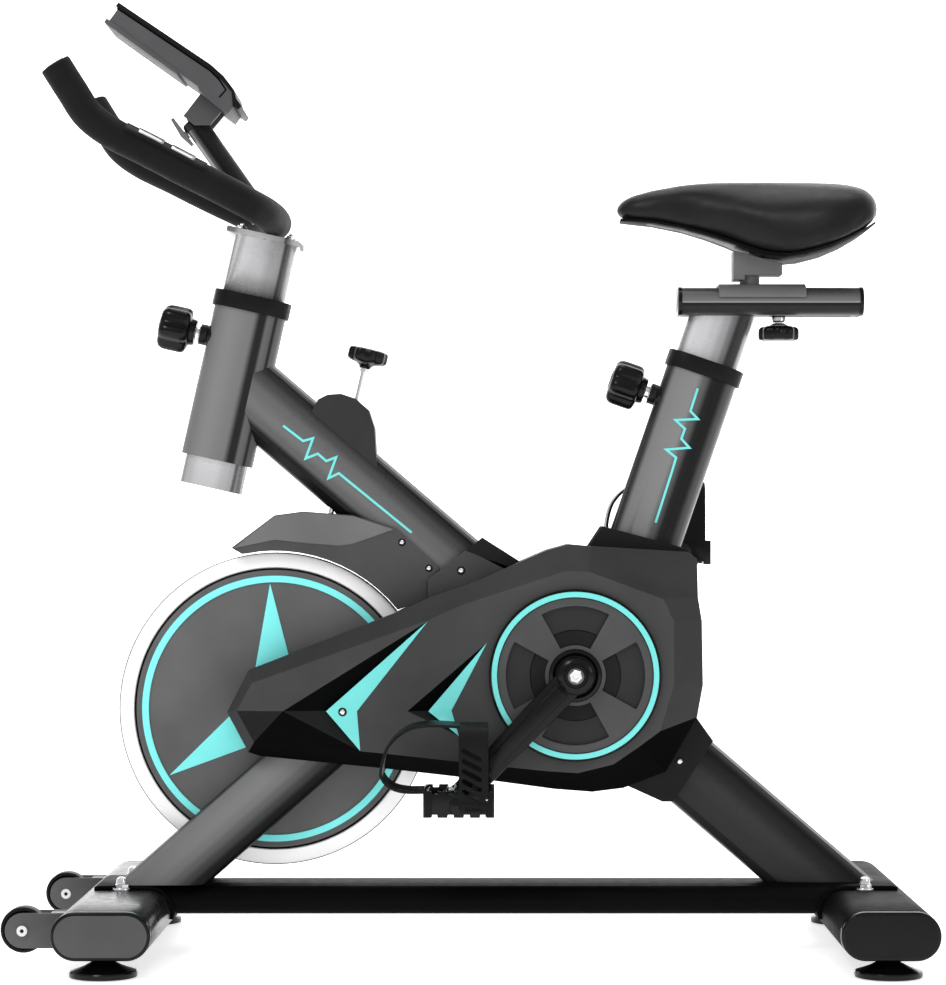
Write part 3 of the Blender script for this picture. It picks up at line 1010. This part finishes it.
def build_knobs():
    for name, base, front in (("handlebar", HEAD_JOINT + HEAD_DIR * 38.6, HEAD_FRONT),
                              ("seat", SEAT_JOINT + SEAT_DIR * 311.6, SEAT_FRONT)):
        head = [(6.2, 50.8, 0), (12.6, 50.8, 0), (13.6, 53, 0), (14.4, 56.5, 0.2), (19, 57.6, 0.7), (22.6, 59, 1),
                (24.2, 61.5, 1), (24.5, 65, 1), (24.5, 79, 1), (24, 83, 1), (22.2, 86.2, 0.9), (19, 88.2, 0.7),
                (12, 88.9, 0.2), (2, 89, 0)]
        lobed(f"{name}_knob_look", head, base, front, 6, 0.17, "gloss", f"{name}_knob",
              [f"{name}_knob"])
        turned(f"{name}_knob_disc", [(0, 89.6), (9.2, 89.6), (10, 89.1), (10, 88), (0, 88)], base, front, "plastic",
               f"{name}_knob", segments=48)
        turned(f"{name}_pin_look", [(0, 33.6), (5.5, 33.6), (5.5, 43), (9.6, 43), (10, 43.6), (10, 46.4), (9.6, 47),
                                    (6.8, 47), (6.8, 50.3), (0, 50.3)], base, front, "chrome", f"{name}_pin",
               [f"{name}_pin"], segments=48)
        turned(f"{name}_pin_socket", [(7.2, 20.4), (12, 20.4), (12, 37), (11, 38.4), (7.2, 38.4)], base, front,
               "gloss", "frame", segments=48)
    cone = [(3.4, 21, 0), (5.6, 21, 0), (6.6, 18.2, 0), (10.4, 16, 0), (17, 14.8, 0.3), (20.6, 12.8, 1),
            (21.5, 10.8, 1), (21.5, 3.8, 1), (20.6, 1.4, 1), (17.6, 0.2, 0.8), (9, 0, 0.2), (1, 0, 0)]
    lobed("tension_knob_look", cone, KNOB_TOP, ROD_DIR, 9, 0.1, "gloss", "tension_knob",
          ["tension_knob"], 10)
    turned("tension_rod_look", [(0, 8.5), (3, 8.5), (3, 184), (0, 184)], KNOB_TOP, ROD_DIR, "chrome", "tension_rod",
           ["tension_rod"], segments=32)
    turned("tension_rod_nut", [(3.1, 21.4), (5.6, 21.4), (5.6, 24.6), (3.1, 24.6)], KNOB_TOP, ROD_DIR, "chrome",
           "tension_rod", segments=6, smooth=20)
    copy_of("brake_pad", "brake_pad_look", "rubber", 0.8)
    low = at(326.5, 0, 637)
    cone_low = [(3.6, 18.6, 0), (6.6, 18.4, 0), (8.6, 16.8, 0), (14.4, 15.4, 0.2), (19, 14.2, 0.8), (21, 12.4, 1),
                (21.5, 10.6, 1), (21.5, 3.6, 1), (20.6, 1.2, 1), (17.6, 0.2, 0.8), (9, 0, 0.2), (1, 0, 0)]
    lobed("slider_knob_look", cone_low, low, (0, 0, 1), 9, 0.1, "gloss", "slider_knob",
          ["slider_knob"], 10)
    turned("slider_knob_stud", [(0, 17), (3.9, 17), (3.9, 53.5), (0, 53.5)], low, (0, 0, 1), "chrome", "slider_knob",
           segments=28)
    turned("slider_knob_washer", [(4.0, 19.2), (6.6, 19.2), (7.6, 21.0), (7.4, 24.6), (6.0, 26.4), (4.0, 26.4)],
           low, (0, 0, 1), "chrome", "slider_knob", segments=40)


# ---------------------------------------------------------------- seat
def build_seat():
    copy_of("seat_post", "seat_post_look", "post", 0, smooth=40)
    copy_of("seat_rail", "seat_rail_look", "rail", 0, smooth=40)
    copy_of("seat_slider", "seat_slider_look", "grey", 1.0, 50, segments=3)
    pan = copy_of("saddle_pan", "saddle_pan_look", "pan", 0.5, 50)
    pan.data.materials.append(M["grey"])
    for poly in pan.data.polygons:
        c = pan.matrix_world @ poly.center
        if 0.262 < c.x < 0.350 and abs(c.y) < 0.034 and c.z < 0.7205:
            poly.material_index = 1
    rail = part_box("seat_rail")
    mid_z = (rail[0].z + rail[1].z) * 500
    for tag, x, way in (("front", rail[0].x * 1000, -1), ("rear", rail[1].x * 1000, 1)):
        swept(f"seat_rail_{tag}_cap", [(x - way * 1.8, 0, mid_z), (x + way * 1.5, 0, mid_z),
                                       (x + way * 2.4, 0, mid_z)],
              stadium(61.2, 30.2, 18), "gloss", "seat_post", scales=[1, 1, 0.96])
    build_cushion()


def build_cushion():
    source = NODES["saddle_cushion"].data.copy()
    bm = bmesh.new()
    bm.from_mesh(source)
    bmesh.ops.remove_doubles(bm, verts=bm.verts, dist=2e-6)
    bm.normal_update()
    for v in bm.verts:
        v.co -= v.normal * 0.0009
    bm.to_mesh(source)
    bm.free()
    source.materials.clear()
    cushion = new_piece("saddle_cushion_look", source, "leather", "seat_slider",
                        ["saddle_cushion"], None)
    remesh = cushion.modifiers.new("voxels", "REMESH")
    remesh.mode = "VOXEL"
    remesh.voxel_size = 0.0042
    apply_modifiers(cushion)
    smooth = cushion.modifiers.new("relax", "SMOOTH")
    smooth.iterations = 3
    smooth.factor = 0.5
    apply_modifiers(cushion)
    rest = [v.co.copy() for v in cushion.data.vertices]
    cloth = cushion.modifiers.new("cloth", "CLOTH")
    cloth.settings.effector_weights.gravity = 0
    cloth.settings.use_pressure = True
    cloth.settings.uniform_pressure_force = 2.5
    cloth.settings.quality = 6
    scene = bpy.context.scene
    for f in range(1, 19):
        scene.frame_set(f)
    apply_modifiers(cushion)
    for v, start in zip(cushion.data.vertices, rest):
        move = v.co - start
        if move.length > 0.004:
            v.co = start + move.normalized() * 0.004
    scene.frame_set(1)
    settle = cushion.modifiers.new("settle", "SMOOTH")
    settle.iterations = 16
    settle.factor = 0.5
    apply_modifiers(cushion)
    sub = cushion.modifiers.new("fine", "SUBSURF")
    sub.levels = 1
    apply_modifiers(cushion)
    cushion.data.materials.clear()
    cushion.data.materials.append(M["leather"])
    cushion.data.shade_smooth()


# ---------------------------------------------------------------- handlebar and device tray
BAR = [(-412.4, -146, 906.2), (-396, -141, 880), (-380, -136, 856), (-356, -131, 838), (-320, -125, 820),
       (-285, -120, 802), (-250, -114, 785), (-226, -101, 773), (-210, -74, 766), (-203.5, -38, 763.5)]


def tube_frame(path):
    """Tangent, sideways and upward directions at each point of a path."""
    rows = []
    n = len(path)
    for i, p in enumerate(path):
        t = (path[min(i + 1, n - 1)] - path[max(i - 1, 0)]).normalized()
        side = t.cross(Vector((0.42, 0, 0.9))).normalized()
        rows.append((p, t, side, side.cross(t)))
    return rows


def build_handlebar():
    half = [Vector(p) for p in BAR]
    other = [Vector((x, -y, z)) for x, y, z in reversed(BAR)]
    path = smooth_path(half + [Vector((-202, 0, 763))] + other, 9)
    points, faces = [], []
    count = 40
    rows = tube_frame(path)
    for p, t, side, up in rows:
        for i in range(count):
            a = 2 * math.pi * i / count
            points.append(p + (side * math.cos(a) + up * math.sin(a)) * 16)
    for i in range(len(rows) - 1):
        for j in range(count):
            k = (j + 1) % count
            faces.append([i * count + j, i * count + k, (i + 1) * count + k, (i + 1) * count + j])
    faces += [list(range(count)), [(len(rows) - 1) * count + j for j in range(count)]]
    bar = new_piece("handlebar_look", mesh_from("bar", points, faces), "foam", "handlebar_post",
                    ["handlebar"], 60)
    bevelled(bar, 2.4, 4, 50)
    for name, side in SIDES:
        way = (Vector(BAR[0]) - Vector(BAR[1])).normalized()
        way = Vector((way.x, way.y if side < 0 else -way.y, way.z))
        tip = Vector((BAR[0][0], side * 146, BAR[0][2]))
        turned(f"{name}_grip_plug", [(0, 0.9), (9.4, 0.9), (10.4, 0.3), (10.4, -0.6), (0, -0.6)], tip, way, "plastic",
               "handlebar_post", segments=40)
        grip_path = path if side < 0 else list(reversed(path))
        build_sensor(name, tube_frame(grip_path))
    copy_of("handlebar_post", "handlebar_post_look", "bar_post", 0, smooth=40)
    copy_of("console_stem", "console_stem_look", "stem", 0, smooth=40)
    turned("console_stem_ring", [(12.1, 117), (13.2, 117), (13.4, 118), (13.4, 123), (13.0, 124.4), (12.1, 124.4)],
           STEM_FOOT, STEM_DIR, "gloss", "handlebar_post", segments=56)
    for i, (along, y) in enumerate(((-26, -20), (-26, 20), (26, -20), (26, 20))):
        top = HEAD_JOINT + HEAD_DIR * 154 + Vector((math.cos(HEAD_LEAN), 0, -math.sin(HEAD_LEAN))) * along
        nut(f"bar_clamp_nut_{i + 1}", top + Vector((0, y, 0)), HEAD_DIR, "handlebar_post", 4.6, 4.0)


def build_sensor(name, rows):
    """The pulse sensor's two chrome plates in their black saddle, on top of the bar."""
    def shell(tag, x0, x1, radius, thick, spread_deg, kind, slot):
        chosen = [r for r in rows[: len(rows) // 2] if x0 <= r[0].x <= x1]
        points, faces = [], []
        steps = 12
        for p, t, sideways, up in chosen:
            if up.z < 0:
                up, sideways = -up, -sideways
            arc_points = [math.radians(-spread_deg + 2 * spread_deg * i / steps) for i in range(steps + 1)]
            for r in (radius + thick, radius):
                for a in (arc_points if r > radius else arc_points[::-1]):
                    points.append(p + (up * math.cos(a) + sideways * math.sin(a)) * r)
        m = 2 * (steps + 1)
        for i in range(len(chosen) - 1):
            for j in range(m):
                k = (j + 1) % m
                faces.append([i * m + j, i * m + k, (i + 1) * m + k, (i + 1) * m + j])
        faces += [list(range(m)), [(len(chosen) - 1) * m + j for j in range(m)]]
        piece = new_piece(f"{name}_sensor_{tag}", mesh_from(tag, points, faces), kind, "handlebar_post",
                          smooth=40)
        bevelled(piece, 0.5, 2, 50)
    shell("saddle", -350, -268, 15.7, 1.6, 64, "plastic", "black_plastic")
    shell("front_plate", -338, -311, 17.2, 1.1, 46, "sensor", "chrome")
    shell("rear_plate", -308, -278, 17.2, 1.1, 46, "sensor", "chrome")


TRAY_SIDE = [(-359.5, 981), (-372.5, 963.5), (-279, 898), (-277.2, 893), (-256.5, 876), (-247.5, 869.5),
             (-240.8, 878.6), (-242, 892), (-252, 905.6), (-265.4, 917)]


def build_tray():
    body = "device_tray"
    plate("tray_shell", [TRAY_SIDE], -46.5, 46.5, "tray", body, "grey_plastic", [body], edge=2.0, segments=4)
    frame_side = [(-360.6, 984.6), (-363.5, 980.8), (-266.5, 915.5), (-254.5, 904.6), (-243.6, 891.6),
                  (-242.4, 877.0), (-236.6, 873.4), (-233.2, 877.2), (-238.8, 885), (-241, 894), (-252, 908.6),
                  (-265.6, 920.6)]
    plate("tray_frame", [frame_side], -48, 48, "plastic", body, "black_plastic", edge=0.9, segments=3)
    foot = [(-372.8, 968), (-375.6, 964.2), (-371, 960.6), (-300, 910), (-298, 913)]
    plate("tray_foot", [foot], -47.6, 47.6, "tray", body, "grey_plastic", edge=0.6)
    seam = [(-361.6, 979.4), (-362.6, 977.8), (-266.8, 913.6), (-257.6, 904.6), (-250.5, 894.0), (-257.0, 886.8),
            (-255.8, 885.6), (-248.6, 894.0), (-256.2, 906.2), (-266, 915.4)]
    plate("tray_seam", [seam], -46.9, 46.9, "facet", body, "black_plastic", edge=0.2)
    mat_panel = [(-352.5, 978.6), (-353.2, 977.4), (-268.2, 920.2), (-267.4, 921.6)]
    plate("tray_pad", [mat_panel], -40, 40, "rubber", body, "rubber", edge=0.3)
    clevis = [(-277.2, 896), (-296.5, 871.0), (-285.2, 861.6), (-268.4, 861.6), (-256.4, 876.0), (-262, 892)]
    for tag, low, high in (("near", -19, -13), ("far", 13, 19)):
        plate(f"tray_cheek_{tag}", [clevis], low, high, "tray", body, "grey_plastic", edge=0.8, segments=3)
    copy_of("console_knob", "console_knob_look", "grey", 0.8, 40)


studio()
build_base()
build_frame()
build_flywheel()
build_crank()
for cover_name, cover_side in SIDES:
    build_cover(cover_name, cover_side)
build_guard()
build_knobs()
build_seat()
build_handlebar()
build_tray()
